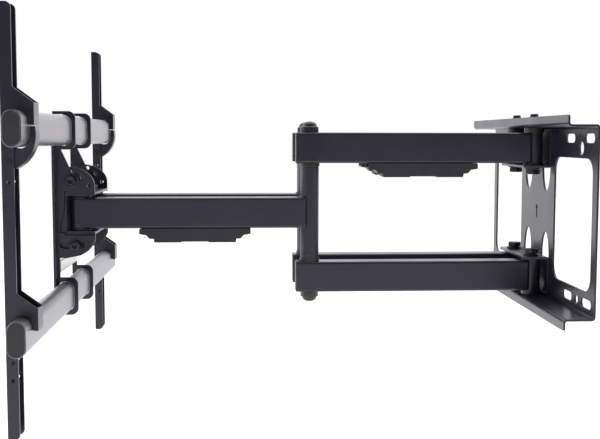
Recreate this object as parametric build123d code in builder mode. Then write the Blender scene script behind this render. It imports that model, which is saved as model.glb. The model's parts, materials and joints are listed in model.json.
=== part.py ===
"""Full motion wall mount for a flat television, on two folding arms, as an assembly of separate pieces.

Frame: origin at the centre of the wall plate's back face, +Z up, X along the wall, the mount standing out to -Y.
Lengths are millimetres. At rest the arms are straight out and the screen brackets are upright.
"""

from build123d import *
import math
import os

os.makedirs("parts", exist_ok=True)

# Wall plate, a folded steel sheet with a shelf and a lip at the top and at the bottom.
PLATE_WIDTH = 462.0
PLATE_HEIGHT = 228.0
PLATE_SHEET = 2.5
SHELF_DEPTH = 38.0
LIP_HEIGHT = 11.0
BEND_RADIUS = 3.5
WINDOW_INNER_X = 75.0
WINDOW_OUTER_X = 216.0
WINDOW_TOP = 74.0
WINDOW_BOTTOM = -84.0
WINDOW_CORNER = 19.0
SLOT_LENGTH = 34.0
SLOT_WIDTH = 11.0
SLOT_Z = 98.0
STUD_SLOT_X = 203.0
NARROW_SLOT_X = 135.0
HANGING_HOLE_X = 175.0
HANGING_HOLE_Z = 86.0
HANGING_HOLE_RADIUS = 8.5
LOWER_HOLE_RADIUS = 6.0
MARKING_DOT_X = 169.0
MARKING_DOT_Z = 101.0
LIGHTENING_X = 40.0
LIGHTENING_Z = 60.0
LIGHTENING_HALF_WIDTH = 17.0
LIGHTENING_HALF_HEIGHT = 33.0
START_HOLE_Z = 3.0
START_HOLE_RADIUS = 4.0

# Arms: two sets side by side, each with two rear tubes and one front tube of equal length between pivots.
ARM_X = 42.0
ARM_LENGTH = 300.0
WALL_PIVOT_Y = -21.0
ELBOW_Y = WALL_PIVOT_Y - ARM_LENGTH
HEAD_PIVOT_Y = ELBOW_Y - ARM_LENGTH
TUBE_WIDTH = 30.0
TUBE_HEIGHT = 40.0
TUBE_WALL = 2.5
TUBE_CORNER = 3.0
REAR_TUBE_Z = 85.0
REAR_TUBE_OVERHANG = 17.0
PIN_CLEARANCE = 0.06
OPEN_PIVOT_CLEARANCE = 0.3

# Pivots.
WALL_BARREL_RADIUS = 11.5
WALL_BOLT_RADIUS = 6.0
PIVOT_LIP_TOP = 62.0
PIVOT_LIP_DEPTH = 38.0
PIVOT_LIP_HALF_WIDTH = 64.0
ELBOW_BARREL_RADIUS = 12.3
ELBOW_BOLT_RADIUS = 8.0
ELBOW_CAP_RADIUS = 12.0
ELBOW_CAP_HEIGHT = 14.5
HEAD_BARREL_RADIUS = 14.0
HEAD_BARREL_HALF = 21.5
HEAD_BOLT_RADIUS = 6.0
WASHER_GAP = 0.1

# Cable covers under the arms.
COVER_LENGTH = 145.0
COVER_STEP = 19.0
COVER_DEPTH = 18.5
COVER_STEP_DEPTH = 14.0
COVER_END_DEPTH = 7.5
COVER_WALL = 2.5
FRONT_COVER_Y = -471.5
REAR_COVER_Y = -172.0

# Tilting head.
HEAD_WEB_Y = -641.0
HEAD_SHEET = 3.0
HEAD_PLATE_TOP = 27.0
HEAD_PLATE_BOTTOM = -27.0
HEAD_FRONT_Y = -600.0
EAR_X = 56.0
EAR_BACK_Y = -645.5
TILT_AXIS_Y = -629.0
TILT_AXIS_Z = 43.0
LOCK_BOLT_Y = -625.0
LOCK_BOLT_Z = -41.0
TILT_BOLT_RADIUS = 4.0
TILT_FORWARD = 10.0
TILT_BACK = 5.0
MAST_X = 60.5
MAST_SHEET = 3.0
MAST_BACK_Y = -651.5
MAST_FRONT_Y = -638.5
MAST_NECK_Y = -645.0
MAST_NECK_Z = 57.0
MAST_RELIEF_Y = -644.5
MAST_STRUT_Y = -642.0
MAST_BOSS_RADIUS = 9.5
MAST_BAR_Y = -648.0
MAST_BAR_Z = -69.0
MAST_BAR_DEPTH = 7.0
MAST_BAR_HEIGHT = 16.0
MAST_FLANGE = 10.0
MAST_FLANGE_TOP = 100.0

# Rails, flat oval aluminium tubes.
RAIL_Y = -638.0
RAIL_Z = 107.0
RAIL_HEIGHT = 38.0
RAIL_DEPTH = 20.0
RAIL_WALL = 2.0
RAIL_HALF_LENGTH = 341.0
RAIL_CAP = 3.0
RAIL_RIM = 1.6
HOOK_GAP = 0.5
HOOK_WALL = 5.0

# Screen brackets, folded channels that hang on the rails.
SCREEN_X = 300.0
SCREEN_Y = -655.5
SCREEN_TOP = 236.0
SCREEN_BOTTOM = -220.0
SCREEN_WIDTH = 24.0
SCREEN_SHEET = 2.5
SCREEN_NARROW_Y = -643.0
SCREEN_WIDE_Y = -621.5
SCREEN_CENTRE_Z = 8.0
SCREEN_HOLE_RADIUS = 4.25
HOOK_RISE = 43.0
HOOK_SHOULDER = 27.0
HOOK_LIP = 4.0
LINER = 2.0
JAW_PIVOT_Y = -648.0
JAW_PIVOT_Z = 73.0
JAW_WIDTH = 18.0
JAW_TIP_Y = -621.5
JAW_TAIL_RADIUS = 4.7
LATCH_PIN_RADIUS = 3.0

SIDES = {"right": 1, "left": -1}


def keep(piece, name):
    """Label a finished piece and write it as its own file."""
    piece.part.label = name
    export_step(piece.part, f"parts/{name}.step")


def side_plane(x):
    """A vertical plane across the wall's normal: its first axis is Y and its second axis is Z."""
    return Plane.YZ.offset(x)


def outline(points):
    """Draw a closed polygon in the open sketch."""
    Polygon(*points, align=None)


def washers(name, places, outer, inner, thickness):
    """Flat rings, each given by the centre of its lower face."""
    with BuildPart() as rings:
        for x, y, z in places:
            with BuildSketch(Plane.XY.offset(z)):
                with Locations((x, y)):
                    Circle(outer)
                    Circle(inner, mode=Mode.SUBTRACT)
            extrude(amount=thickness)
    keep(rings, name)


# ---------------------------------------------------------------- wall plate and its pivot brackets

def wall_plate():
    half = PLATE_HEIGHT / 2 - PLATE_SHEET / 2
    back = -PLATE_SHEET / 2
    front = -SHELF_DEPTH + PLATE_SHEET / 2
    tip = PLATE_HEIGHT / 2 + LIP_HEIGHT
    with BuildPart() as plate:
        with BuildSketch(side_plane(-PLATE_WIDTH / 2)):
            with BuildLine():
                FilletPolyline(
                    (front, tip), (front, half), (back, half), (back, -half), (front, -half), (front, -tip),
                    radius=BEND_RADIUS,
                )
            trace(line_width=PLATE_SHEET)
        extrude(amount=PLATE_WIDTH)
        with BuildSketch(Plane.XZ.offset(-1)):
            window_z = (WINDOW_TOP + WINDOW_BOTTOM) / 2
            window_x = (WINDOW_OUTER_X + WINDOW_INNER_X) / 2
            with Locations((-window_x, window_z), (window_x, window_z)):
                RectangleRounded(WINDOW_OUTER_X - WINDOW_INNER_X, WINDOW_TOP - WINDOW_BOTTOM, WINDOW_CORNER)
            for x in (STUD_SLOT_X, NARROW_SLOT_X):
                with Locations((x, SLOT_Z), (-x, SLOT_Z), (x, -SLOT_Z), (-x, -SLOT_Z)):
                    SlotOverall(SLOT_LENGTH, SLOT_WIDTH)
            with Locations((HANGING_HOLE_X, HANGING_HOLE_Z), (-HANGING_HOLE_X, HANGING_HOLE_Z)):
                Circle(HANGING_HOLE_RADIUS)
            with Locations((MARKING_DOT_X, MARKING_DOT_Z), (-MARKING_DOT_X, MARKING_DOT_Z)):
                Circle(2.2)
            with Locations((MARKING_DOT_X, -SLOT_Z), (-MARKING_DOT_X, -SLOT_Z)):
                Circle(LOWER_HOLE_RADIUS)
            for z in (LIGHTENING_Z, -LIGHTENING_Z):
                with Locations((LIGHTENING_X, z), (-LIGHTENING_X, z)):
                    Ellipse(LIGHTENING_HALF_WIDTH, LIGHTENING_HALF_HEIGHT)
            with Locations((0, START_HOLE_Z)):
                Circle(START_HOLE_RADIUS)
            with Locations((0, -4)):
                SlotOverall(16, 4, rotation=90)
        extrude(amount=SHELF_DEPTH / 2, mode=Mode.SUBTRACT)
        with BuildSketch(Plane.XY.offset(-PLATE_HEIGHT)):
            with Locations((ARM_X, WALL_PIVOT_Y), (-ARM_X, WALL_PIVOT_Y)):
                Circle(WALL_BOLT_RADIUS + 0.2)
        extrude(amount=2 * PLATE_HEIGHT, mode=Mode.SUBTRACT)
        corners = plate.edges().filter_by(Axis.Y).group_by(Axis.Z)
        lip_corners = ShapeList(corners[0] + corners[-1]).filter_by(lambda e: e.length < PLATE_SHEET + 0.5)
        fillet(lip_corners, 3)
    keep(plate, "wall_plate")


def pivot_bracket(name, up):
    """An L-shaped bracket on the wall plate, whose lip carries the inner ends of two wall pivots."""
    lip = PIVOT_LIP_TOP - HEAD_SHEET / 2
    top = PLATE_HEIGHT / 2 - BEND_RADIUS - 3
    web = -PLATE_SHEET - HEAD_SHEET / 2
    with BuildPart() as bracket:
        with BuildSketch(side_plane(-PIVOT_LIP_HALF_WIDTH)):
            with BuildLine():
                FilletPolyline((web, up * top), (web, up * lip), (-PIVOT_LIP_DEPTH, up * lip), radius=3)
            trace(line_width=HEAD_SHEET)
        extrude(amount=2 * PIVOT_LIP_HALF_WIDTH)
        with BuildSketch(Plane.XY.offset(-PLATE_HEIGHT)):
            with Locations((ARM_X, WALL_PIVOT_Y), (-ARM_X, WALL_PIVOT_Y)):
                Circle(WALL_BOLT_RADIUS + 0.2)
        extrude(amount=2 * PLATE_HEIGHT, mode=Mode.SUBTRACT)
        front = bracket.edges().filter_by(Axis.Z).group_by(Axis.Y)[0]
        fillet(front, 9)
    keep(bracket, name)


def wall_pivot_hardware():
    """Four pivot bolts with hexagonal heads towards the middle, and a nut on each shelf."""
    head = 7.0
    nut = 10.0
    seat = 2.0
    inner = PIVOT_LIP_TOP - HEAD_SHEET
    outer = PLATE_HEIGHT / 2
    tip = outer + seat + nut + 4.0
    with BuildPart() as bolts:
        for x in (ARM_X, -ARM_X):
            for up in (1, -1):
                with BuildSketch(Plane.XY.offset(up * (inner - seat))):
                    with Locations((x, WALL_PIVOT_Y)):
                        Circle(WALL_BOLT_RADIUS)
                extrude(amount=up * (tip - inner + seat))
                with BuildSketch(Plane.XY.offset(up * (inner - seat))):
                    with Locations((x, WALL_PIVOT_Y)):
                        RegularPolygon(10.0, 6)
                extrude(amount=-up * head)
        chamfer(bolts.faces().filter_by(Axis.Z).filter_by(lambda f: abs(f.center().Z) > outer).edges(), 1.0)
    keep(bolts, "wall_pivot_bolts")
    with BuildPart() as nuts:
        for x in (ARM_X, -ARM_X):
            for up in (1, -1):
                with BuildSketch(Plane.XY.offset(up * (outer + seat))):
                    with Locations((x, WALL_PIVOT_Y)):
                        RegularPolygon(10.5, 6)
                        Circle(WALL_BOLT_RADIUS, mode=Mode.SUBTRACT)
                extrude(amount=up * nut)
    keep(nuts, "wall_pivot_nuts")
    centres = [(x, WALL_PIVOT_Y) for x in (ARM_X, -ARM_X)]
    steel = [(x, y, z) for x, y in centres for z in (outer, -outer - seat, inner - seat, -inner)]
    washers("wall_pivot_washers", steel, 11.0, WALL_BOLT_RADIUS + 0.1, seat)
    tube_top = REAR_TUBE_Z + TUBE_HEIGHT / 2
    shelf_under = outer - PLATE_SHEET
    gap = shelf_under - tube_top
    high = [(x, y, z) for x, y in centres for z in (tube_top + WASHER_GAP, -shelf_under + WASHER_GAP)]
    washers("wall_outer_bushes", high, 13.0, WALL_BOLT_RADIUS + 0.1, gap - 2 * WASHER_GAP)
    tube_under = REAR_TUBE_Z - TUBE_HEIGHT / 2
    gap = tube_under - PIVOT_LIP_TOP
    low = [(x, y, z) for x, y in centres for z in (PIVOT_LIP_TOP + WASHER_GAP, -tube_under + WASHER_GAP)]
    washers("wall_inner_bushes", low, 13.0, WALL_BOLT_RADIUS + 0.1, gap - 2 * WASHER_GAP)


# ---------------------------------------------------------------- arms

def tube(name, x, z, far_end, near_end, barrel_cuts, pin_cuts):
    """A rectangular steel tube along Y. Barrels are let into it, and pins pass through it."""
    with BuildPart() as arm:
        with BuildSketch(Plane.XZ.offset(-near_end)):
            with Locations((x, z)):
                RectangleRounded(TUBE_WIDTH, TUBE_HEIGHT, TUBE_CORNER)
                RectangleRounded(
                    TUBE_WIDTH - 2 * TUBE_WALL, TUBE_HEIGHT - 2 * TUBE_WALL, TUBE_CORNER / 3, mode=Mode.SUBTRACT
                )
        extrude(amount=near_end - far_end)
        for y, radius in barrel_cuts + pin_cuts:
            with BuildSketch(Plane.XY.offset(z - TUBE_HEIGHT)):
                with Locations((x, y)):
                    Circle(radius)
            extrude(amount=2 * TUBE_HEIGHT, mode=Mode.SUBTRACT)
    keep(arm, name)


def barrel(name, x, y, outer, inner, spans):
    """Vertical pivot barrels, each from a low to a high z."""
    with BuildPart() as sleeves:
        for low, high in spans:
            with BuildSketch(Plane.XY.offset(low)):
                with Locations((x, y)):
                    Circle(outer)
                    Circle(inner, mode=Mode.SUBTRACT)
            extrude(amount=high - low)
    keep(sleeves, name)


def elbow_bolt(name, x):
    """The long pin through both rear tubes and the front arm's elbow barrel, with a domed cap at each end."""
    end = REAR_TUBE_Z + TUBE_HEIGHT / 2
    with BuildPart() as pin:
        with BuildSketch(Plane.XY.offset(-end)):
            with Locations((x, ELBOW_Y)):
                Circle(ELBOW_BOLT_RADIUS)
        extrude(amount=2 * end)
    keep(pin, name)


def elbow_caps(name, x):
    """Turned caps on the elbow pin: a collar below a domed top."""
    end = REAR_TUBE_Z + TUBE_HEIGHT / 2
    collar = 7.5
    dome = 6.4
    neck = ELBOW_CAP_RADIUS - 2.3
    with BuildPart() as caps:
        for up in (1, -1):
            base = end if up > 0 else -end - collar
            with BuildSketch(Plane.XY.offset(base)):
                with Locations((x, ELBOW_Y)):
                    Circle(ELBOW_CAP_RADIUS)
            extrude(amount=collar)
            with BuildSketch(Plane.XY.offset(up * (end + collar))):
                with Locations((x, ELBOW_Y)):
                    Circle(neck)
            extrude(amount=up * (ELBOW_CAP_HEIGHT - collar))
        rims = caps.edges().filter_by(GeomType.CIRCLE).group_by(Axis.Z)
        fillet(rims[0] + rims[-1], dome)
    keep(caps, name)


def end_plugs(name, x):
    """Plastic plugs in the open ends of the rear tubes, past the elbow."""
    y = ELBOW_Y - REAR_TUBE_OVERHANG
    depth = 7.0
    fit = 0.05
    with BuildPart() as plugs:
        for z in (REAR_TUBE_Z, -REAR_TUBE_Z):
            with BuildSketch(Plane.XZ.offset(-y - depth)):
                with Locations((x, z)):
                    Rectangle(TUBE_WIDTH - 2 * TUBE_WALL - fit - 2, TUBE_HEIGHT - 2 * TUBE_WALL - fit - 2)
            extrude(amount=depth)
            with BuildSketch(Plane.XZ.offset(-y)):
                with Locations((x, z)):
                    RectangleRounded(TUBE_WIDTH - 0.6, TUBE_HEIGHT - 0.6, TUBE_CORNER)
            extrude(amount=1.5)
    keep(plugs, name)


def cable_cover(name, x, y, z_top):
    """A plastic cable channel clipped under a tube, stepped at both ends and hollow from end to end."""
    half = COVER_LENGTH / 2
    inner = half - COVER_STEP
    notch = 18.0
    top = z_top - 0.1
    deep = z_top - COVER_DEPTH
    step = z_top - COVER_STEP_DEPTH
    end = z_top - COVER_END_DEPTH
    floor = end + 2.3
    with BuildPart() as cover:
        with BuildSketch(side_plane(x - TUBE_WIDTH / 2)):
            outline([
                (y - half, top), (y + half, top), (y + half, end), (y + half - 9, end - 1.5),
                (y + half - 13, step + 0.5), (y + inner, step), (y + inner, deep), (y + notch, deep),
                (y + notch - 1, deep + 1), (y - notch + 1, deep + 1), (y - notch, deep), (y - inner, deep),
                (y - inner, step), (y - half + 13, step + 0.5), (y - half + 9, end - 1.5), (y - half, end),
            ])
            fillet(vertices().group_by(Axis.Y)[0] + vertices().group_by(Axis.Y)[-1], 2.0)
        extrude(amount=TUBE_WIDTH)
        fillet(cover.faces().filter_by(Axis.X).edges().filter_by(lambda e: e.center().Z < top - 1), 0.8)
        with BuildSketch(side_plane(x - TUBE_WIDTH / 2 + COVER_WALL)):
            outline([
                (y - half - 1, top + 1), (y + half + 1, top + 1), (y + half + 1, floor), (y + inner - 3, floor),
                (y + inner - 3, deep + 3.4), (y - inner + 3, deep + 3.4), (y - inner + 3, floor),
                (y - half - 1, floor),
            ])
        extrude(amount=TUBE_WIDTH - 2 * COVER_WALL, mode=Mode.SUBTRACT)
    keep(cover, name)


def arm_set(side, sign):
    """All the pieces of one folding arm."""
    x = sign * ARM_X
    tip = ELBOW_Y - REAR_TUBE_OVERHANG
    butt = WALL_PIVOT_Y - 9.0
    pin_hole = [(ELBOW_Y, ELBOW_BOLT_RADIUS)]
    wall_cut = [(WALL_PIVOT_Y, WALL_BARREL_RADIUS)]
    tube(f"{side}_upper_rear_tube", x, REAR_TUBE_Z, tip, butt, wall_cut, pin_hole)
    tube(f"{side}_lower_rear_tube", x, -REAR_TUBE_Z, tip, butt, wall_cut, pin_hole)
    low, high = REAR_TUBE_Z - TUBE_HEIGHT / 2, REAR_TUBE_Z + TUBE_HEIGHT / 2
    spans = [(low, high), (-high, -low)]
    bore = WALL_BOLT_RADIUS + PIN_CLEARANCE
    barrel(f"{side}_wall_barrels", x, WALL_PIVOT_Y, WALL_BARREL_RADIUS, bore, spans)
    end_plugs(f"{side}_rear_end_plugs", x)
    elbow_bolt(f"{side}_elbow_bolt", x)
    elbow_caps(f"{side}_elbow_caps", x)
    cable_cover(f"{side}_rear_cable_cover", x, REAR_COVER_Y, low)

    front_cuts = [(ELBOW_Y, ELBOW_BARREL_RADIUS), (HEAD_PIVOT_Y, HEAD_BARREL_RADIUS)]
    tube(f"{side}_front_tube", x, 0.0, HEAD_PIVOT_Y - 5.0, ELBOW_Y - 7.0, front_cuts, [])
    sleeve = low - 4.0
    bore = ELBOW_BOLT_RADIUS + PIN_CLEARANCE
    barrel(f"{side}_elbow_barrel", x, ELBOW_Y, ELBOW_BARREL_RADIUS, bore, [(-sleeve, sleeve)])
    bore = HEAD_BOLT_RADIUS + (PIN_CLEARANCE if sign > 0 else OPEN_PIVOT_CLEARANCE)
    half = HEAD_BARREL_HALF
    barrel(f"{side}_head_barrel", x, HEAD_PIVOT_Y, HEAD_BARREL_RADIUS, bore, [(-half, half)])
    cable_cover(f"{side}_front_cable_cover", x, FRONT_COVER_Y, -TUBE_HEIGHT / 2)
    places = [(x, ELBOW_Y, sleeve + WASHER_GAP), (x, ELBOW_Y, -low + WASHER_GAP)]
    washers(f"{side}_elbow_bushes", places, 13.2, ELBOW_BOLT_RADIUS + PIN_CLEARANCE, 4.0 - 2 * WASHER_GAP)


# ---------------------------------------------------------------- head bracket

def head_channel():
    """The folded channel that takes both front arms' pivots between its top and bottom plates."""
    web = HEAD_WEB_Y + HEAD_SHEET / 2
    top = HEAD_PLATE_TOP - HEAD_SHEET / 2
    low = HEAD_PLATE_BOTTOM + HEAD_SHEET / 2
    with BuildPart() as channel:
        with BuildSketch(side_plane(-EAR_X)):
            with BuildLine():
                FilletPolyline((HEAD_FRONT_Y, top), (web, top), (web, low), (HEAD_FRONT_Y, low), radius=2.5)
            trace(line_width=HEAD_SHEET)
        extrude(amount=2 * EAR_X)
        with BuildSketch(Plane.XY.offset(-2 * HEAD_PLATE_TOP)):
            with Locations((ARM_X, HEAD_PIVOT_Y), (-ARM_X, HEAD_PIVOT_Y)):
                Circle(HEAD_BOLT_RADIUS + 0.1)
        extrude(amount=4 * HEAD_PLATE_TOP, mode=Mode.SUBTRACT)
        with BuildSketch(Plane.XZ.offset(-HEAD_FRONT_Y)):
            with Locations((0, 0)):
                RectangleRounded(30, 26, 5)
        extrude(amount=3 * (HEAD_FRONT_Y - HEAD_WEB_Y) / 2, mode=Mode.SUBTRACT)
    keep(channel, "head_channel")


def head_ear(side, sign):
    """A side plate of the head bracket, with a lobe above for the tilt bolt and one below for the lock bolt."""
    x = EAR_X if sign > 0 else -EAR_X - HEAD_SHEET
    back = EAR_BACK_Y
    rim = HEAD_WEB_Y + HEAD_SHEET + 2.0
    with BuildPart() as ear:
        with BuildSketch(side_plane(x)):
            with BuildLine():
                Polyline((HEAD_FRONT_Y, 37), (HEAD_FRONT_Y, 23), (rim, 23), (rim, -23), (HEAD_FRONT_Y, -23),
                         (HEAD_FRONT_Y, -35))
                Spline((HEAD_FRONT_Y, -35), (HEAD_FRONT_Y - 7, -46.5), (HEAD_FRONT_Y - 20, -54.5))
                Polyline((HEAD_FRONT_Y - 20, -54.5), (back, -58), (back, 58), (-634, 60.5))
                Spline((-634, 60.5), (-621, 58.5), (-606, 50), (HEAD_FRONT_Y, 37))
            make_face()
            with Locations((TILT_AXIS_Y, TILT_AXIS_Z), (LOCK_BOLT_Y, LOCK_BOLT_Z)):
                Circle(TILT_BOLT_RADIUS + 0.05, mode=Mode.SUBTRACT)
            with Locations((-627, 55.3), (-616, 47.5), (-607.5, 36)):
                Circle(2.4, mode=Mode.SUBTRACT)
        extrude(amount=HEAD_SHEET)
    keep(ear, f"{side}_head_ear")


def head_pivot_hardware():
    """Bolts down through the head channel and the front arms' barrels, with nuts below and plain washers."""
    head = 6.0
    nut = 7.0
    top, low = HEAD_PLATE_TOP, HEAD_PLATE_BOTTOM
    with BuildPart() as bolts:
        for x in (ARM_X, -ARM_X):
            with BuildSketch(Plane.XY.offset(low - nut - 2.0)):
                with Locations((x, HEAD_PIVOT_Y)):
                    Circle(HEAD_BOLT_RADIUS)
            extrude(amount=top - low + nut + 2.0)
            with BuildSketch(Plane.XY.offset(top)):
                with Locations((x, HEAD_PIVOT_Y)):
                    Circle(10.0)
            extrude(amount=head)
        fillet(bolts.edges().filter_by(GeomType.CIRCLE).group_by(Axis.Z)[-1], 2.5)
    keep(bolts, "head_pivot_bolts")
    with BuildPart() as nuts:
        for x in (ARM_X, -ARM_X):
            with BuildSketch(Plane.XY.offset(low - nut)):
                with Locations((x, HEAD_PIVOT_Y)):
                    RegularPolygon(10.0, 6)
                    Circle(HEAD_BOLT_RADIUS, mode=Mode.SUBTRACT)
            extrude(amount=nut)
    keep(nuts, "head_pivot_nuts")
    gap = top - HEAD_SHEET - HEAD_BARREL_HALF
    places = [
        (x, HEAD_PIVOT_Y, z)
        for x in (ARM_X, -ARM_X)
        for z in (HEAD_BARREL_HALF + WASHER_GAP, low + HEAD_SHEET + WASHER_GAP)
    ]
    washers("head_pivot_washers", places, 13.0, HEAD_BOLT_RADIUS + 0.1, gap - 2 * WASHER_GAP)


def tilt_hardware():
    """Tilt bolts above and lock bolts below, each through an ear and a mast, with a nut inside the ear."""
    head = 6.5
    nut = 7.0
    inner = EAR_X
    outer = MAST_X + MAST_SHEET + 1.0
    centres = {"tilt_bolts": (TILT_AXIS_Y, TILT_AXIS_Z), "tilt_lock_bolts": (LOCK_BOLT_Y, LOCK_BOLT_Z)}
    for name, (y, z) in centres.items():
        with BuildPart() as bolts:
            for sign in (1, -1):
                with BuildSketch(side_plane(sign * (inner - nut - 1.5))):
                    with Locations((y, z)):
                        Circle(TILT_BOLT_RADIUS)
                extrude(amount=sign * (outer - inner + nut + 1.5))
                with BuildSketch(side_plane(sign * outer)):
                    with Locations((y, z)):
                        if name == "tilt_bolts":
                            RegularPolygon(6.4, 6)
                        else:
                            Circle(6.4)
                extrude(amount=sign * head)
                with BuildSketch(side_plane(sign * (outer + head))):
                    with Locations((y, z)):
                        RegularPolygon(3.2, 6)
                extrude(amount=-sign * 3.5, mode=Mode.SUBTRACT)
        keep(bolts, name)
    with BuildPart() as nuts:
        for sign in (1, -1):
            with BuildSketch(side_plane(sign * inner)):
                with Locations(*centres.values()):
                    RegularPolygon(7.0, 6)
                    Circle(TILT_BOLT_RADIUS, mode=Mode.SUBTRACT)
            extrude(amount=-sign * nut)
    keep(nuts, "tilt_nuts")
    with BuildPart() as rings:
        for sign in (1, -1):
            with BuildSketch(side_plane(sign * (MAST_X + MAST_SHEET + 0.05))):
                with Locations(*centres.values()):
                    Circle(8.5)
                    Circle(TILT_BOLT_RADIUS, mode=Mode.SUBTRACT)
            extrude(amount=sign * 0.95)
    keep(rings, "tilt_washers")
    with BuildPart() as discs:
        for sign in (1, -1):
            with BuildSketch(side_plane(sign * (EAR_X + HEAD_SHEET))):
                with Locations(*centres.values()):
                    Circle(10.0)
                    Circle(TILT_BOLT_RADIUS, mode=Mode.SUBTRACT)
            extrude(amount=sign * (MAST_X - EAR_X - HEAD_SHEET - 0.05))
    keep(discs, "tilt_friction_discs")


# ---------------------------------------------------------------- tilting frame: masts and rails

def mast(side, sign):
    """A side plate with a hook for each rail, a lug for the tilt bolt and a slotted tab for the lock bolt."""
    x = MAST_X if sign > 0 else -MAST_X - MAST_SHEET
    hook_y = RAIL_Y + RAIL_DEPTH / 2 + HOOK_GAP + HOOK_WALL
    hook_top = RAIL_Z + RAIL_HEIGHT / 2 + HOOK_GAP + HOOK_WALL
    hook_height = RAIL_HEIGHT + 2 * (HOOK_GAP + HOOK_WALL)
    hook_low = RAIL_Z - hook_height / 2
    lip = 4.0
    reach = math.hypot(LOCK_BOLT_Y - TILT_AXIS_Y, LOCK_BOLT_Z - TILT_AXIS_Z)
    middle = math.degrees(math.atan2(LOCK_BOLT_Z - TILT_AXIS_Z, LOCK_BOLT_Y - TILT_AXIS_Y))
    spare = 0.6
    lock_path = CenterArc(
        (TILT_AXIS_Y, TILT_AXIS_Z), reach, middle - TILT_FORWARD - spare, TILT_FORWARD + TILT_BACK + 2 * spare
    )
    with BuildPart() as plate:
        with BuildSketch(side_plane(x)):
            with Locations((hook_y - hook_height / 2, RAIL_Z), (hook_y - hook_height / 2, -RAIL_Z)):
                RectangleRounded(hook_height, hook_height, 9)
            with Locations((MAST_BACK_Y - hook_height / 2, 0)):
                Rectangle(hook_height, 2 * hook_top + 1, mode=Mode.SUBTRACT)
            for up in (1, -1):
                with Locations(((MAST_BACK_Y + RAIL_Y) / 2, up * (RAIL_Z + hook_top - lip) / 2)):
                    Rectangle(RAIL_Y - MAST_BACK_Y, hook_top - lip - RAIL_Z, mode=Mode.SUBTRACT)
            with Locations(((MAST_BACK_Y + MAST_NECK_Y) / 2, 0)):
                Rectangle(MAST_NECK_Y - MAST_BACK_Y, 2 * hook_low + 2)
            with Locations(((MAST_BACK_Y + MAST_FRONT_Y) / 2, 0)):
                Rectangle(MAST_FRONT_Y - MAST_BACK_Y, 2 * MAST_NECK_Z)
            outline([
                (MAST_NECK_Y - 1, hook_low + 1), (MAST_STRUT_Y, hook_low + 1),
                (TILT_AXIS_Y + 4.7, TILT_AXIS_Z + 2.2), (TILT_AXIS_Y, TILT_AXIS_Z - 8), (MAST_FRONT_Y - 1, TILT_AXIS_Z - 14),
                (MAST_NECK_Y - 1, TILT_AXIS_Z - 14),
            ])
            with Locations((TILT_AXIS_Y, TILT_AXIS_Z)):
                Circle(MAST_BOSS_RADIUS)
            # The folded front arm's tube passes here when the screen is tilted forward.
            with BuildLine():
                Polyline(
                    (MAST_FRONT_Y + 1, 14), (MAST_RELIEF_Y, -16), (MAST_RELIEF_Y, -25), (MAST_FRONT_Y + 1, -25),
                    close=True,
                )
            make_face(mode=Mode.SUBTRACT)
            outline([
                (MAST_FRONT_Y - 1, -28), (-601, -28), (-601, -35), (-606.5, -45.5), (-618, -54), (MAST_FRONT_Y - 1, -58),
            ])
            with Locations((RAIL_Y, RAIL_Z), (RAIL_Y, -RAIL_Z)):
                SlotOverall(RAIL_HEIGHT + 2 * HOOK_GAP, RAIL_DEPTH + 2 * HOOK_GAP, rotation=90, mode=Mode.SUBTRACT)
            with Locations((TILT_AXIS_Y, TILT_AXIS_Z)):
                Circle(TILT_BOLT_RADIUS + 0.06, mode=Mode.SUBTRACT)
            SlotArc(lock_path, 2 * TILT_BOLT_RADIUS + 0.8, mode=Mode.SUBTRACT)
        extrude(amount=MAST_SHEET)
        flange_x = x + MAST_SHEET if sign > 0 else x - MAST_FLANGE
        with BuildSketch(Plane.XY.offset(-MAST_FLANGE_TOP)):
            with Locations((flange_x + MAST_FLANGE / 2, MAST_BACK_Y + MAST_SHEET / 2)):
                Rectangle(MAST_FLANGE, MAST_SHEET)
        extrude(amount=2 * MAST_FLANGE_TOP)
    keep(plate, f"{side}_mast")


def rail(name, z):
    """A flat oval aluminium tube along X."""
    with BuildPart() as body:
        with BuildSketch(side_plane(-RAIL_HALF_LENGTH)):
            with Locations((RAIL_Y, z)):
                SlotOverall(RAIL_HEIGHT, RAIL_DEPTH, rotation=90)
                SlotOverall(
                    RAIL_HEIGHT - 2 * RAIL_WALL, RAIL_DEPTH - 2 * RAIL_WALL, rotation=90, mode=Mode.SUBTRACT
                )
        extrude(amount=2 * RAIL_HALF_LENGTH)
    keep(body, name)


def rail_caps():
    """Plastic caps on the rails' four ends: a plug inside the tube, and a rounded face inside the tube's outline."""
    with BuildPart() as caps:
        for sign in (1, -1):
            for z in (RAIL_Z, -RAIL_Z):
                with BuildSketch(side_plane(sign * (RAIL_HALF_LENGTH - 10))):
                    with Locations((RAIL_Y, z)):
                        SlotOverall(
                            RAIL_HEIGHT - 2 * RAIL_WALL - 0.2, RAIL_DEPTH - 2 * RAIL_WALL - 0.2, rotation=90
                        )
                extrude(amount=sign * 10)
                with BuildSketch(side_plane(sign * RAIL_HALF_LENGTH)):
                    with Locations((RAIL_Y, z)):
                        SlotOverall(RAIL_HEIGHT - RAIL_RIM, RAIL_DEPTH - RAIL_RIM, rotation=90)
                extrude(amount=sign * RAIL_CAP)
        outer = caps.faces().sort_by(Axis.X)
        fillet(ShapeList(outer[:2] + outer[-2:]).edges(), 1.4)
    keep(caps, "rail_end_caps")


def rail_screws():
    """Screw heads on the screen side of the rails, just inside the masts, which stop the rails from sliding."""
    head = 3.0
    with BuildPart() as screws:
        for sign in (1, -1):
            for z in (RAIL_Z, -RAIL_Z):
                with BuildSketch(Plane.XZ.offset(-RAIL_Y + RAIL_DEPTH / 2)):
                    with Locations((sign * (MAST_X - 8), z)):
                        Circle(6.0)
                extrude(amount=head)
        fillet(screws.faces().sort_by(Axis.Y)[:4].edges(), 1.2)
    keep(screws, "rail_screws")


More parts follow.
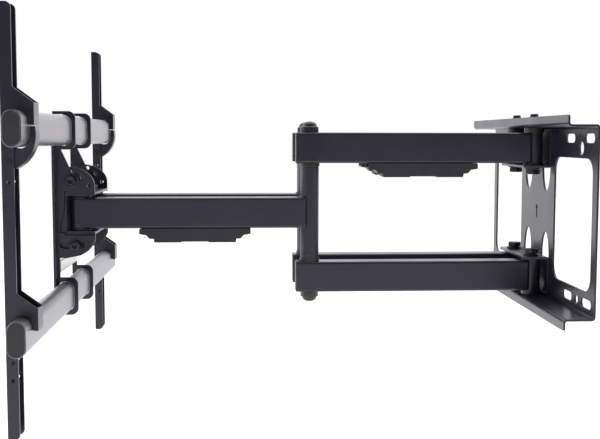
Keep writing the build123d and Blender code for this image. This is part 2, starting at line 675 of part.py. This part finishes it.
def spacer_bar():
    """A plated flat bar between the two masts, which keeps them parallel."""
    with BuildPart() as bar:
        with BuildSketch(side_plane(-MAST_X)):
            with Locations((MAST_BAR_Y, MAST_BAR_Z)):
                RectangleRounded(MAST_BAR_DEPTH, MAST_BAR_HEIGHT, 1.5)
        extrude(amount=2 * MAST_X)
    keep(bar, "mast_spacer_bar")


# ---------------------------------------------------------------- screen brackets

def hook_profile(z):
    """Corners of the wide part of a screen bracket that hooks over a rail at height z."""
    return [
        (SCREEN_Y, z + HOOK_RISE), (SCREEN_NARROW_Y, z + HOOK_RISE), (SCREEN_WIDE_Y, z + HOOK_SHOULDER),
        (SCREEN_WIDE_Y, z + HOOK_LIP), (SCREEN_Y, z + HOOK_LIP),
    ]


def screen_bracket(side, sign):
    """A channel with its web against the screen, and two hooked cheeks that hang on the rails."""
    x = sign * SCREEN_X - SCREEN_WIDTH / 2
    length = SCREEN_TOP - SCREEN_BOTTOM
    notch = RAIL_DEPTH + 2 * LINER + 0.4
    with BuildPart() as bracket:
        for cheek in (x, x + SCREEN_WIDTH - SCREEN_SHEET):
            with BuildSketch(side_plane(cheek)):
                with Locations(((SCREEN_Y + SCREEN_NARROW_Y) / 2, (SCREEN_TOP + SCREEN_BOTTOM) / 2)):
                    Rectangle(SCREEN_NARROW_Y - SCREEN_Y, length)
                tips = vertices().group_by(Axis.X)[-1]
                fillet(tips, 6)
                for z in (RAIL_Z, -RAIL_Z):
                    outline(hook_profile(z))
                with Locations((RAIL_Y, RAIL_Z), (RAIL_Y, -RAIL_Z)):
                    SlotOverall(notch + RAIL_HEIGHT - RAIL_DEPTH, notch, rotation=90, mode=Mode.SUBTRACT)
                with Locations((-649, -137), (-649, -156), (-649, 52)):
                    Circle(2.2, mode=Mode.SUBTRACT)
                with Locations((JAW_PIVOT_Y, JAW_PIVOT_Z)):
                    Circle(LATCH_PIN_RADIUS, mode=Mode.SUBTRACT)
            extrude(amount=SCREEN_SHEET)
        with BuildSketch(side_plane(x)):
            with Locations((SCREEN_Y + SCREEN_SHEET / 2, (SCREEN_TOP + SCREEN_BOTTOM) / 2)):
                Rectangle(SCREEN_SHEET, length)
            for z in (RAIL_Z, -RAIL_Z):
                with Locations((SCREEN_WIDE_Y - SCREEN_SHEET / 2, z + (HOOK_SHOULDER + HOOK_LIP) / 2)):
                    Rectangle(SCREEN_SHEET, HOOK_SHOULDER - HOOK_LIP)
        extrude(amount=SCREEN_WIDTH)
        with BuildSketch(Plane.XZ.offset(-SCREEN_Y - SCREEN_SHEET * 2)):
            for reach in (200, 150, 100):
                with Locations(
                    (sign * SCREEN_X, SCREEN_CENTRE_Z + reach), (sign * SCREEN_X, SCREEN_CENTRE_Z - reach)
                ):
                    Circle(SCREEN_HOLE_RADIUS)
        extrude(amount=SCREEN_SHEET * 3, mode=Mode.SUBTRACT)
    keep(bracket, f"{side}_screen_bracket")


def hook_liners(side, sign):
    """Plastic pads between each hook and its rail, over the rail's top and down its sides."""
    x = sign * SCREEN_X - SCREEN_WIDTH / 2
    with BuildPart() as liners:
        for z in (RAIL_Z, -RAIL_Z):
            with BuildSketch(side_plane(x)):
                with Locations((RAIL_Y, z)):
                    SlotOverall(RAIL_HEIGHT + 2 * LINER + 0.4, RAIL_DEPTH + 2 * LINER + 0.4, rotation=90)
                    SlotOverall(RAIL_HEIGHT + 0.8, RAIL_DEPTH + 0.8, rotation=90, mode=Mode.SUBTRACT)
                with Locations((RAIL_Y, z + 4.5 - 30)):
                    Rectangle(60, 60, mode=Mode.SUBTRACT)
            extrude(amount=SCREEN_WIDTH)
    keep(liners, f"{side}_hook_liners")


def latch_jaw(side, sign):
    """The hooked latch that closes below the upper rail and swings down to free the screen."""
    x = sign * SCREEN_X - JAW_WIDTH / 2
    low = RAIL_Z - RAIL_HEIGHT / 2 + RAIL_DEPTH / 2
    inner = RAIL_DEPTH / 2 + 1.5
    tip = RAIL_Z + HOOK_LIP - 1.2
    with BuildPart() as jaw:
        with BuildSketch(side_plane(x)):
            with BuildLine():
                ThreePointArc((JAW_TIP_Y, tip), (-623.5, 86), (-634, 71))
                Polyline((-634, 71), (-641, 66), (JAW_PIVOT_Y, JAW_PIVOT_Z - JAW_TAIL_RADIUS))
                CenterArc((JAW_PIVOT_Y, JAW_PIVOT_Z), JAW_TAIL_RADIUS, -90, -90)
                Polyline((JAW_PIVOT_Y - JAW_TAIL_RADIUS, JAW_PIVOT_Z), (-652.5, 80), (-648.5, 83.5), (-645, 84.5))
                Polyline((-645, 84.5), (-641, low - inner + 0.6))
                ThreePointArc(
                    (-641, low - inner + 0.6), (RAIL_Y + inner * 0.66, low - inner * 0.75), (RAIL_Y + inner, low)
                )
                Polyline((RAIL_Y + inner, low), (RAIL_Y + inner + 0.3, tip), (JAW_TIP_Y, tip))
            make_face()
            with Locations((JAW_PIVOT_Y, JAW_PIVOT_Z)):
                Circle(LATCH_PIN_RADIUS + PIN_CLEARANCE, mode=Mode.SUBTRACT)
        extrude(amount=JAW_WIDTH)
    keep(jaw, f"{side}_latch_jaw")
    with BuildPart() as pin:
        with BuildSketch(side_plane(sign * SCREEN_X - SCREEN_WIDTH / 2 - 1)):
            with Locations((JAW_PIVOT_Y, JAW_PIVOT_Z)):
                Circle(LATCH_PIN_RADIUS)
        extrude(amount=SCREEN_WIDTH + 2)
    keep(pin, f"{side}_latch_pin")


wall_plate()
pivot_bracket("upper_pivot_bracket", 1)
pivot_bracket("lower_pivot_bracket", -1)
wall_pivot_hardware()
for side, sign in SIDES.items():
    arm_set(side, sign)
head_channel()
head_pivot_hardware()
tilt_hardware()
for side, sign in SIDES.items():
    head_ear(side, sign)
    mast(side, sign)
    screen_bracket(side, sign)
    hook_liners(side, sign)
    latch_jaw(side, sign)
rail("upper_rail", RAIL_Z)
rail("lower_rail", -RAIL_Z)
rail_caps()
rail_screws()
spacer_bar()
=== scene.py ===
"""Looks for the television wall mount: studio, camera, procedural materials and fine pieces round the CAD frame."""
import bpy
import bmesh
import json
import math
from mathutils import Matrix, Vector


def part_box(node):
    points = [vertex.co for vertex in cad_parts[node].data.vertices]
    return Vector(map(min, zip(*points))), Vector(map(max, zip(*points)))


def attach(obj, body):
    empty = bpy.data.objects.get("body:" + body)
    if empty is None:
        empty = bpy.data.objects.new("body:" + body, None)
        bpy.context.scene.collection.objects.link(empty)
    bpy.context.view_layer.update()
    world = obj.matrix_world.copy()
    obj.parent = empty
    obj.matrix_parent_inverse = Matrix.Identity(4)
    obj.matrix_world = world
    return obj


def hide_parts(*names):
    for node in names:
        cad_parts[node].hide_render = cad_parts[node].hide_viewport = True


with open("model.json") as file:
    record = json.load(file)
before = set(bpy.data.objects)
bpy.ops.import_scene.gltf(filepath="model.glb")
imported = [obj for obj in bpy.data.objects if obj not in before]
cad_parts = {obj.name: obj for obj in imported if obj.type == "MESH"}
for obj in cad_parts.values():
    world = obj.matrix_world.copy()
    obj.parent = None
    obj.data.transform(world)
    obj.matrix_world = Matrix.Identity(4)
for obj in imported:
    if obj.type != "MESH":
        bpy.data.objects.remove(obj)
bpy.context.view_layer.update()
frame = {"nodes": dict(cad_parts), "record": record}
MM = 0.001

# The arm pivots' places in the CAD, in metres.
SIDES = {"right": 1, "left": -1}
ARM_X = 0.042
WALL_Y = -0.021
ELBOW_Y = -0.321
HEAD_Y = -0.621
FLOOR_Z = -0.42

# Shapes the fine pieces follow, in millimetres.
TUBE_HALF = 20.0
REAR_TUBE_Z = 85.0
ELBOW_BARREL_RADIUS = 12.3
ELBOW_BARREL_HALF = 61.0
HEAD_BARREL_RADIUS = 14.0
HEAD_BARREL_HALF = 21.5
PIVOT_BRACKET_Z = 59.0
PIVOT_NUT_HEIGHT = 10.0
SCREW_HEAD = 6.5
ELBOW_CAP_HEIGHT = 14.5
CHAMFER_SLOPE = math.tan(math.radians(30))


# ---------------------------------------------------------------- shader helpers

class Shader:
    """A material's node tree, with short calls for the nodes used here."""

    def __init__(self, name):
        self.material = bpy.data.materials.new(name)
        self.material.use_nodes = True
        self.tree = self.material.node_tree
        self.surface = self.tree.nodes["Principled BSDF"]
        coordinates = self.tree.nodes.new("ShaderNodeTexCoord")
        self.place = coordinates.outputs["Object"]

    def link(self, out, into):
        self.tree.links.new(out, into)

    def stretched(self, sx, sy, sz):
        mapping = self.tree.nodes.new("ShaderNodeMapping")
        mapping.inputs["Scale"].default_value = (sx, sy, sz)
        self.link(self.place, mapping.inputs["Vector"])
        return mapping.outputs["Vector"]

    def noise(self, scale, detail=3.0, rough=0.5, vector=None):
        node = self.tree.nodes.new("ShaderNodeTexNoise")
        node.inputs["Scale"].default_value = scale
        node.inputs["Detail"].default_value = detail
        node.inputs["Roughness"].default_value = rough
        self.link(vector or self.place, node.inputs["Vector"])
        return node.outputs["Fac"]

    def ramp(self, value, low, high, colour_low, colour_high):
        node = self.tree.nodes.new("ShaderNodeValToRGB")
        first, last = node.color_ramp.elements
        first.position, first.color = low, (*colour_low, 1)
        last.position, last.color = high, (*colour_high, 1)
        self.link(value, node.inputs["Fac"])
        return node.outputs["Color"]

    def ranged(self, value, low, high, out_low, out_high):
        node = self.tree.nodes.new("ShaderNodeMapRange")
        for key, number in zip(("From Min", "From Max", "To Min", "To Max"), (low, high, out_low, out_high)):
            node.inputs[key].default_value = number
        self.link(value, node.inputs["Value"])
        return node.outputs["Result"]

    def blend(self, factor, first, second):
        node = self.tree.nodes.new("ShaderNodeMix")
        node.data_type = "RGBA"
        self.link(factor, node.inputs["Factor"])
        for socket, value in ((node.inputs["A"], first), (node.inputs["B"], second)):
            if isinstance(value, tuple):
                socket.default_value = (*value, 1)
            else:
                self.link(value, socket)
        return node.outputs["Result"]

    def rounded(self, radius):
        node = self.tree.nodes.new("ShaderNodeBevel")
        node.samples = 6
        node.inputs["Radius"].default_value = radius
        return node.outputs["Normal"]

    def edges(self, radius):
        """0 on flat faces, rising to 1 along sharp edges."""
        geometry = self.tree.nodes.new("ShaderNodeNewGeometry")
        dot = self.tree.nodes.new("ShaderNodeVectorMath")
        dot.operation = "DOT_PRODUCT"
        self.link(self.rounded(radius), dot.inputs[0])
        self.link(geometry.outputs["Normal"], dot.inputs[1])
        return self.ranged(dot.outputs["Value"], 0.99, 0.80, 0.0, 1.0)

    def bump(self, height, strength, distance, normal=None):
        node = self.tree.nodes.new("ShaderNodeBump")
        node.inputs["Strength"].default_value = strength
        node.inputs["Distance"].default_value = distance
        self.link(height, node.inputs["Height"])
        if normal is not None:
            self.link(normal, node.inputs["Normal"])
        return node.outputs["Normal"]

    def set(self, **values):
        for key, value in values.items():
            socket = self.surface.inputs[key.replace("_", " ")]
            if isinstance(value, (int, float)):
                socket.default_value = value
            elif isinstance(value, tuple):
                socket.default_value = (*value, 1)
            else:
                self.link(value, socket)


def powder_coat(name, dark, light, grain=1500.0, rough=(0.27, 0.38)):
    """Fine-texture powder coat: a pebbled skin, slow changes of tone, and edges rubbed a little lighter."""
    s = Shader(name)
    pebbles = s.noise(grain, 2.0, 0.6)
    slow = s.noise(14.0, 4.0, 0.55)
    tone = s.ramp(slow, 0.3, 0.7, dark, light)
    speck = s.ramp(s.noise(grain * 0.6, 1.0), 0.66, 0.74, (0, 0, 0), (1, 1, 1))
    flecked = s.blend(s.ranged(speck, 0, 1, 0, 0.25), tone, tuple(min(1, 2.2 * c) for c in light))
    scuffs = s.ranged(s.noise(220.0, 4.0, 0.7), 0.42, 0.62, 0.0, 1.0)
    worn = s.tree.nodes.new("ShaderNodeMath")
    worn.operation = "MULTIPLY"
    s.link(s.edges(0.0006), worn.inputs[0])
    s.link(scuffs, worn.inputs[1])
    s.set(Base_Color=s.blend(s.ranged(worn.outputs["Value"], 0, 1, 0, 0.6), flecked, (0.30, 0.30, 0.32)),
          Roughness=s.ranged(slow, 0.3, 0.7, *rough), Specular_IOR_Level=0.62, Specular_Tint=(0.88, 0.87, 1.0),
          Normal=s.bump(pebbles, 0.35, 0.00012, s.rounded(0.0005)))
    return s.material


def anodised(name):
    """Matt anodised aluminium with faint drawn lines along X."""
    s = Shader(name)
    lines = s.noise(1.0, 4.0, 0.65, s.stretched(6.0, 1400.0, 1400.0))
    slow = s.noise(9.0, 3.0)
    tone = s.ramp(lines, 0.35, 0.65, (0.28, 0.27, 0.30), (0.36, 0.35, 0.38))
    s.set(Metallic=1.0, Base_Color=s.blend(s.ranged(slow, 0.3, 0.7, 0, 0.35), tone, (0.30, 0.29, 0.32)),
          Roughness=s.ranged(lines, 0.3, 0.7, 0.34, 0.44), Anisotropic=0.35,
          Normal=s.bump(lines, 0.10, 0.00008, s.rounded(0.0003)))
    return s.material


def moulded(name, dark, light, rough=(0.42, 0.55), grain=2300.0, depth=0.00006):
    """Injection-moulded plastic with a spark-eroded grain and slight flow marks."""
    s = Shader(name)
    grains = s.noise(grain, 2.0, 0.6)
    flow = s.noise(1.0, 3.0, 0.6, s.stretched(18.0, 60.0, 60.0))
    s.set(Base_Color=s.ramp(flow, 0.3, 0.7, dark, light), Roughness=s.ranged(flow, 0.3, 0.7, *rough),
          Normal=s.bump(grains, 0.3, depth, s.rounded(0.0004)))
    return s.material


def plated(name, dark, light, rough=(0.25, 0.42), metal=1.0, edge=(0.75, 0.74, 0.72)):
    """Turned or plated steel: fine random scratches, cloudy tone, brighter edges."""
    s = Shader(name)
    clouds = s.noise(120.0, 4.0, 0.6)
    scratches = s.noise(1.0, 3.0, 0.7, s.stretched(900.0, 900.0, 140.0))
    tone = s.ramp(clouds, 0.3, 0.7, dark, light)
    s.set(Metallic=metal, Base_Color=s.blend(s.ranged(s.edges(0.0004), 0, 1, 0, 0.5), tone, edge),
          Roughness=s.ranged(clouds, 0.3, 0.7, *rough), Normal=s.bump(scratches, 0.15, 0.00006, s.rounded(0.0004)))
    return s.material


COAT_DARK, COAT_LIGHT = (0.0105, 0.0095, 0.0180), (0.0160, 0.0150, 0.0265)
MATERIALS = {
    "black_powder_coat": powder_coat("powder_coat", COAT_DARK, COAT_LIGHT),
    "rail_aluminium": anodised("anodised_rail"),
    "cap_plastic": moulded("cap_plastic", (0.020, 0.020, 0.024), (0.028, 0.028, 0.033)),
    "cover_plastic": moulded("cover_plastic", (0.014, 0.014, 0.020), (0.021, 0.021, 0.028)),
    "trim_plastic": moulded("trim_plastic", (0.012, 0.012, 0.013), (0.018, 0.018, 0.020)),
    "bush_nylon": moulded("bush_nylon", (0.014, 0.012, 0.013), (0.020, 0.020, 0.022), rough=(0.3, 0.4)),
    "zinc_steel": plated("zinc_steel", (0.50, 0.50, 0.49), (0.66, 0.65, 0.62)),
    "black_cap": moulded("gloss_cap", (0.012, 0.012, 0.016), (0.018, 0.018, 0.024), rough=(0.14, 0.22), depth=0.00002),
    "black_oxide_steel": plated("black_oxide", (0.034, 0.033, 0.039), (0.062, 0.060, 0.066), (0.24, 0.40),
                                edge=(0.16, 0.16, 0.16)),
    "latch_steel": powder_coat("latch_coat", COAT_DARK, COAT_LIGHT),
}
for part in frame["record"]["subparts"]:
    mesh_object = frame["nodes"][part["node"]]
    for place in mesh_object.material_slots:
        place.material = MATERIALS[part["material_slot"]]


# ---------------------------------------------------------------- fine pieces

def mesh_piece(name, points, faces, slot, body, smooth):
    """A mesh in metres, made a piece that rides on a body. Edges sharper than smooth degrees stay sharp."""
    mesh = bpy.data.meshes.new(name)
    mesh.from_pydata(points, [], faces)
    mesh.validate()
    mesh.update()
    work = bmesh.new()
    work.from_mesh(mesh)
    bmesh.ops.remove_doubles(work, verts=work.verts, dist=1e-6)
    bmesh.ops.recalc_face_normals(work, faces=work.faces)
    work.to_mesh(mesh)
    work.free()
    piece = bpy.data.objects.new(name, mesh)
    bpy.context.scene.collection.objects.link(piece)
    mesh.materials.append(MATERIALS[slot])
    mesh.shade_smooth()
    mesh.set_sharp_from_angle(angle=math.radians(smooth))
    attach(piece, body)
    return piece


def hexagon(flats):
    """Radius by angle of a hexagon with that half width across its flats."""
    def radius(angle):
        return flats / math.cos((angle % (math.pi / 3)) - math.pi / 6)
    return radius


class Turned:
    """Closed shapes built as stacked rings round an axis: each level is (height, radius), either by angle."""

    def __init__(self, count=72):
        self.count = count
        self.points, self.faces = [], []

    def add(self, base, axis, levels):
        """Levels run from one pole to the other. Heights are along axis from base."""
        axis = Vector(axis).normalized()
        side = axis.orthogonal().normalized()
        other = axis.cross(side)
        start = len(self.points)
        for height, radius in levels:
            for i in range(self.count):
                angle = math.tau * i / self.count
                r = radius(angle) if callable(radius) else radius
                h = height(angle) if callable(height) else height
                self.points.append(tuple(
                    Vector(base) + axis * h * MM + (side * math.cos(angle) + other * math.sin(angle)) * r * MM
                ))
        for ring in range(len(levels) - 1):
            for i in range(self.count):
                j = (i + 1) % self.count
                a = start + ring * self.count
                self.faces.append((a + i, a + j, a + self.count + j, a + self.count + i))
        last = start + (len(levels) - 1) * self.count
        self.faces.append(tuple(range(start, start + self.count))[::-1])
        self.faces.append(tuple(range(last, last + self.count)))

    def hex_body(self, base, axis, flats, height):
        """A hexagon whose corners are turned off by a 30 degree chamfer at both ends."""
        wide = hexagon(flats)
        rim = flats * 0.96

        def drop(angle):
            return (wide(angle) - rim) * CHAMFER_SLOPE

        self.add(base, axis, [(0.0, rim), (drop, wide), (lambda angle: height - drop(angle), wide), (height, rim)])

    def thread(self, base, axis, radius, length, pitch):
        """A screw thread: a ridge that climbs by pitch each turn, with a short cone at its end."""
        depth = 0.55 * pitch
        steps = int(length / pitch * 8)
        levels = []
        for k in range(steps + 1):
            height = length * k / steps
            taper = max(0.0, (height - length + pitch) / pitch) * depth

            def ridge(angle, height=height, taper=taper):
                phase = (height / pitch - angle / math.tau) % 1.0
                return radius - taper - depth * max(0.0, abs(2 * phase - 1) * 1.2 - 0.2) * (1 - taper / depth)
            levels.append((height, ridge))
        self.add(base, axis, levels)

    def piece(self, name, slot, body, smooth=35.0):
        return mesh_piece(name, self.points, self.faces, slot, body, smooth)


def bead(name, paths, radius, body):
    """Weld beads: a row of overlapping ripples along each path, given as points in millimetres."""
    points, faces = [], []
    around = 12
    for path in paths:
        line = [Vector(p) for p in path]
        lengths = [0.0]
        for a, b in zip(line, line[1:]):
            lengths.append(lengths[-1] + (b - a).length)
        step = 0.3
        count = max(8, int(lengths[-1] / step))
        start = len(points)
        for k in range(count + 1):
            at = lengths[-1] * k / count
            i = max(j for j in range(len(lengths) - 1) if lengths[j] <= at + 1e-9)
            part = (at - lengths[i]) / (lengths[i + 1] - lengths[i])
            centre = line[i].lerp(line[i + 1], part)
            ahead = (line[i + 1] - line[i]).normalized()
            side = ahead.orthogonal().normalized()
            other = ahead.cross(side)
            ripple = (at / 1.5) % 1.0
            end = min(1.0, at / 1.2, (lengths[-1] - at) / 1.2)
            size = radius * (0.80 + 0.20 * math.sin(math.pi * ripple)) * math.sqrt(max(0.02, end))
            size *= 1.0 + 0.06 * math.sin(at * 1.9 + centre.z)
            for n in range(around):
                turn = math.tau * n / around
                points.append(tuple((centre + (side * math.cos(turn) + other * math.sin(turn)) * size) * MM))
        for k in range(count):
            for n in range(around):
                m = (n + 1) % around
                a = start + k * around
                faces.append((a + n, a + m, a + around + m, a + around + n))
        last = start + count * around
        faces.append(tuple(range(start, start + around))[::-1])
        faces.append(tuple(range(last, last + around)))
    mesh_piece(name, points, faces, "black_powder_coat", body, 60.0)


def arc(cx, cy, z, radius, first, last, count=24):
    """Points along an arc in the level plane, between two angles in degrees."""
    turns = [math.radians(first + (last - first) * k / count) for k in range(count + 1)]
    return [(cx + radius * math.cos(t), cy + radius * math.sin(t), z) for t in turns]


def welds():
    """Beads where the front tubes meet the elbow and head barrels, and where the rear tubes meet the wall barrels."""
    for side, sign in SIDES.items():
        x = sign * ARM_X / MM
        y = ELBOW_Y / MM
        elbow = [arc(x, y, z, 12.6, 214, 326) for z in (TUBE_HALF, -TUBE_HALF)]
        elbow += [[(x + dx, y - 7.3, -TUBE_HALF), (x + dx, y - 7.3, TUBE_HALF)] for dx in (11.6, -11.6)]
        bead(f"{side}_elbow_weld", elbow, 1.9, f"{side}_front_arm")
        y = HEAD_Y / MM
        head = [arc(x, y, z, 14.2, -18, 198) for z in (19.9, -19.9)]
        bead(f"{side}_head_weld", head, 1.2, f"{side}_front_arm")
        y = WALL_Y / MM
        wall = [
            [(x + dx, y - 8.7, z - 19.0), (x + dx, y - 8.7, z + 19.0)]
            for dx in (11.2, -11.2) for z in (REAR_TUBE_Z, -REAR_TUBE_Z)
        ]
        bead(f"{side}_wall_weld", wall, 1.8, f"{side}_rear_arm")


def wall_fasteners():
    """Flanged hexagonal bolts through the shelves, and lock nuts with a plastic ring above them."""
    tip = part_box("wall_pivot_bolts")[1].z / MM
    nut_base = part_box("wall_pivot_nuts")[1].z / MM - PIVOT_NUT_HEIGHT
    bracket_low = PIVOT_BRACKET_Z
    bolts, nuts, rings = Turned(), Turned(), Turned(48)
    for x in (ARM_X, -ARM_X):
        for up in (1, -1):
            axis = (0, 0, up)
            foot = (x, WALL_Y, up * (bracket_low - 2.0) * MM)
            bolts.add(foot, axis, [(0.0, 5.95), (nut_base - bracket_low + 2.0, 5.95)])
            bolts.hex_body((x, WALL_Y, up * (bracket_low - 9.0) * MM), axis, 8.5, 6.2)
            bolts.add((x, WALL_Y, up * (bracket_low - 3.0) * MM), axis, [(0.0, 8.2), (0.3, 8.4), (0.95, 8.4)])
            bolts.thread((x, WALL_Y, up * nut_base * MM), axis, 5.9, tip - nut_base, 1.75)
            nuts.hex_body((x, WALL_Y, up * nut_base * MM), axis, 9.0, 7.2)
            nuts.add((x, WALL_Y, up * (nut_base + 7.0) * MM), axis, [(0.0, 8.6), (1.8, 8.4), (2.6, 7.7), (2.9, 6.9)])
            rings.add((x, WALL_Y, up * (nut_base + 9.6) * MM), axis, [(0.0, 6.9), (0.25, 6.7), (0.4, 6.2)])
    piece = bolts.piece("pivot_bolts_threaded", "black_oxide_steel", "wall")
    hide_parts("wall_pivot_bolts")
    piece = nuts.piece("pivot_lock_nuts", "black_oxide_steel", "wall")
    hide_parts("wall_pivot_nuts")
    rings.piece("pivot_nut_rings", "bush_nylon", "wall")


def socket_screws(name, node, centre_y, centre_z, head_radius, knurled):
    """Socket head screws through ear and mast: a knurled or hexagonal head with a hexagonal recess."""
    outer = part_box(node)[1].x / MM
    head = SCREW_HEAD
    shape = Turned(144)
    recess = hexagon(2.9)
    for sign in (1, -1):
        axis = (sign, 0, 0)
        base = (sign * (outer - head) * MM, centre_y, centre_z)
        if knurled:
            def skin(angle):
                return head_radius - 0.28 * abs(math.sin(24 * angle))
            rim = head_radius - 0.9
            levels = [(0.0, head_radius - 0.5), (0.6, skin), (head - 1.1, skin), (head - 0.2, rim)]
        else:
            wide = hexagon(head_radius * 0.866)
            rim = head_radius * 0.83
            levels = [(0.0, wide), (lambda a: head - (wide(a) - rim) * 0.577, wide), (head, rim)]
        levels += [(head, rim - 0.4), (head, 3.75), (head - 0.5, recess), (head - 3.4, recess), (head - 3.6, 0.6)]
        shape.add(base, axis, levels)
        shank = 17.5
        foot = (sign * (outer - head - shank) * MM, centre_y, centre_z)
        shape.add(foot, axis, [(0.0, 3.2), (0.6, 3.9), (shank, 3.9)])
    piece = shape.piece(name, "black_oxide_steel", "head", 30.0)
    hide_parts(node)


def barrel_rings():
    """Turned shoulder rings near both ends of the elbow and head barrels."""
    for side, sign in SIDES.items():
        rings = Turned(96)
        barrels = (
            (ELBOW_Y, ELBOW_BARREL_RADIUS, ELBOW_BARREL_HALF, 4.5), (HEAD_Y, HEAD_BARREL_RADIUS, HEAD_BARREL_HALF, 1.0),
        )
        for y, radius, half, gap in barrels:
            for up in (1, -1):
                place = (sign * ARM_X, y, up * (half - gap) * MM)
                rings.add(place, (0, 0, up), [(-0.5, radius - 1), (-0.45, radius + 0.05), (-0.2, radius + 0.28),
                                              (0.2, radius + 0.28), (0.45, radius + 0.05), (0.5, radius - 1)])
        rings.piece(f"{side}_barrel_rings", "black_powder_coat", f"{side}_front_arm", 25.0)


def elbow_cap_tops():
    """Fluted domes on the elbow caps, each with a shallow dimple at its pole, just inside the plain domes' height."""
    for side, sign in SIDES.items():
        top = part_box(f"{side}_elbow_caps")[1].z / MM
        shape = Turned(96)

        def fluted(radius, depth):
            return lambda angle: radius - depth * abs(math.sin(12 * angle))
        for up in (1, -1):
            base = (sign * ARM_X, ELBOW_Y, up * (top - ELBOW_CAP_HEIGHT) * MM)
            shape.add(base, (0, 0, up), [
                (0.0, 11.6), (0.4, 12.0), (6.9, 12.0), (7.5, 11.5), (7.5, 10.2), (7.9, 9.7), (9.0, fluted(9.65, 0.25)),
                (11.0, fluted(8.9, 0.3)), (12.6, fluted(7.4, 0.25)), (13.7, 5.4), (14.3, 3.4), (14.48, 2.0),
                (14.2, 1.2), (14.0, 0.5),
            ])
        piece = shape.piece(f"{side}_domed_caps", "black_cap", f"{side}_rear_arm", 30.0)
        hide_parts(f"{side}_elbow_caps")


welds()
barrel_rings()
elbow_cap_tops()
wall_fasteners()
socket_screws("tilt_screws_hex", "tilt_bolts", -0.629, 0.043, 6.4, False)
socket_screws("tilt_lock_screws_knurled", "tilt_lock_bolts", -0.625, -0.041, 6.4, True)


# ---------------------------------------------------------------- studio

def area_light(name, position, target, size, power):
    data = bpy.data.lights.new(name, "AREA")
    data.shape = "RECTANGLE"
    data.size, data.size_y = size
    data.energy = power
    lamp = bpy.data.objects.new(name, data)
    bpy.context.scene.collection.objects.link(lamp)
    lamp.visible_camera = False
    lamp.location = position
    lamp.rotation_euler = (Vector(target) - Vector(position)).to_track_quat("-Z", "Y").to_euler()


def studio():
    """A pale floor, three soft lights, and a white surround that is dimmer towards +X."""
    bpy.ops.mesh.primitive_plane_add(size=14.0, location=(0, -0.3, FLOOR_Z))
    floor = bpy.context.object
    floor.name = "floor"
    pale = bpy.data.materials.new("pale_floor")
    pale.use_nodes = True
    surface = pale.node_tree.nodes["Principled BSDF"]
    surface.inputs["Base Color"].default_value = (0.93, 0.93, 0.93, 1)
    surface.inputs["Roughness"].default_value = 0.8
    surface.inputs["Emission Color"].default_value = (1.0, 1.0, 1.0, 1)
    surface.inputs["Emission Strength"].default_value = 0.30
    floor.data.materials.append(pale)
    middle = (0, -0.33, 0)
    area_light("top_light", (-0.5, -0.33, 2.3), middle, (2.6, 2.6), 26)
    area_light("screen_side_light", (-0.6, -2.7, 0.5), middle, (1.8, 1.8), 20)
    area_light("wall_side_light", (0.1, 2.4, 0.7), middle, (1.6, 1.6), 8)
    world = bpy.data.worlds.new("studio")
    bpy.context.scene.world = world
    world.use_nodes = True
    tree = world.node_tree
    background = tree.nodes["Background"]
    direction = tree.nodes.new("ShaderNodeTexCoord")
    split = tree.nodes.new("ShaderNodeSeparateXYZ")
    fall = tree.nodes.new("ShaderNodeMapRange")
    tree.links.new(direction.outputs["Generated"], split.inputs[0])
    tree.links.new(split.outputs["X"], fall.inputs["Value"])
    for key, number in (("From Min", -0.25), ("From Max", 0.85), ("To Min", 1.35), ("To Max", 0.11)):
        fall.inputs[key].default_value = number
    path = tree.nodes.new("ShaderNodeLightPath")
    seen = tree.nodes.new("ShaderNodeMix")
    tree.links.new(path.outputs["Is Camera Ray"], seen.inputs["Factor"])
    tree.links.new(fall.outputs["Result"], seen.inputs["A"])
    seen.inputs["B"].default_value = 1.0
    tree.links.new(seen.outputs["Result"], background.inputs["Strength"])
    background.inputs["Color"].default_value = (1.0, 1.0, 1.0, 1)


def camera():
    """The camera at the viewing angle of the main picture."""
    yaw, pitch, roll = math.radians(3.174), math.radians(4.827), math.radians(0.088)
    forward = Vector((-math.cos(yaw) * math.cos(pitch), math.sin(yaw) * math.cos(pitch), -math.sin(pitch)))
    right = Vector((math.sin(yaw), math.cos(yaw), 0))
    up = right.cross(forward)
    turned_right = math.cos(roll) * right + math.sin(roll) * up
    turned_up = -math.sin(roll) * right + math.cos(roll) * up
    data = bpy.data.cameras.new("camera")
    data.lens = 58.56
    data.sensor_width = 36.0
    data.clip_start = 0.01
    seen = bpy.data.objects.new("camera", data)
    bpy.context.scene.collection.objects.link(seen)
    axes = Matrix((turned_right, turned_up, -forward)).transposed()
    seen.matrix_world = Matrix.Translation((1.32995, -0.40498, 0.09889)) @ axes.to_4x4()
    bpy.context.scene.camera = seen


bpy.context.scene.view_settings.view_transform = "Standard"
studio()
camera()
